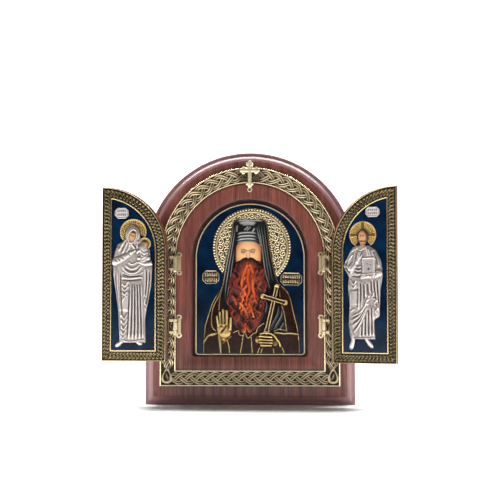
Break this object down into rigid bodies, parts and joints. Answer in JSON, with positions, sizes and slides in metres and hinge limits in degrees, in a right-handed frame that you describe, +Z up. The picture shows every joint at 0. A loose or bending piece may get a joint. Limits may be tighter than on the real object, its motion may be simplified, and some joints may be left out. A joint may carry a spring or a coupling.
{
  "type": "triptych altarpiece",
  "caption": "Standing arched wooden board with a knotwork metal frame, a sunk enamelled relief and two hinged arched wings with silver relief figures.",
  "frame": {"origin": "middle of the board's underside, at half the board's thickness", "axes": "+Z up, the face looks along -Y, +X to the right of somebody who looks at the face"},
  "size_m": [0.2336, 0.0623, 0.202],
  "materials": {
    "stained_wood": "red-brown stain under satin varnish",
    "aged_brass": "antiqued, dark in the ground, bright on the rims",
    "hinge_brass": "polished",
    "gilt_brass": "gilt, matt",
    "silver": "silvered, darkened in the folds",
    "blue_enamel": "dark blue enamel",
    "cloisonne_enamel": "coloured enamel between gilt wires"
  },
  "bodies": {
    "shrine": {"board": "stained_wood", "arch_frame": "aged_brass", "crown_cross": "aged_brass", "centre_plate": "blue_enamel", "plate_rim": "aged_brass", "saint_relief": "cloisonne_enamel", "saint_halo": "gilt_brass", "saint_label_left": "gilt_brass", "saint_label_right": "gilt_brass", "left_hinge_leaf_upper": "hinge_brass", "left_hinge_pin_upper": "hinge_brass", "left_hinge_leaf_lower": "hinge_brass", "left_hinge_pin_lower": "hinge_brass", "right_hinge_leaf_upper": "hinge_brass", "right_hinge_pin_upper": "hinge_brass", "right_hinge_leaf_lower": "hinge_brass", "right_hinge_pin_lower": "hinge_brass"},
    "left_wing": {"left_wing_board": "stained_wood", "left_wing_frame": "aged_brass", "left_wing_panel": "blue_enamel", "left_wing_figure": "silver", "left_wing_halo": "gilt_brass", "left_wing_label": "silver", "left_strap_upper": "hinge_brass", "left_strap_lower": "hinge_brass"},
    "right_wing": {"right_wing_board": "stained_wood", "right_wing_frame": "aged_brass", "right_wing_panel": "blue_enamel", "right_wing_figure": "silver", "right_wing_halo": "gilt_brass", "right_wing_label": "silver", "right_strap_upper": "hinge_brass", "right_strap_lower": "hinge_brass"}
  },
  "joints": [
    {"name": "left_wing_hinge", "type": "hinge", "parent": "shrine", "child": "left_wing", "pos_m": [-0.0589, -0.025, 0.0876], "axis": [0, 0, 1], "range_deg": [-4, 181.5]},
    {"name": "right_wing_hinge", "type": "hinge", "parent": "shrine", "child": "right_wing", "pos_m": [0.0589, -0.025, 0.0876], "axis": [0, 0, -1], "range_deg": [-21.5, 164]}
  ]
}
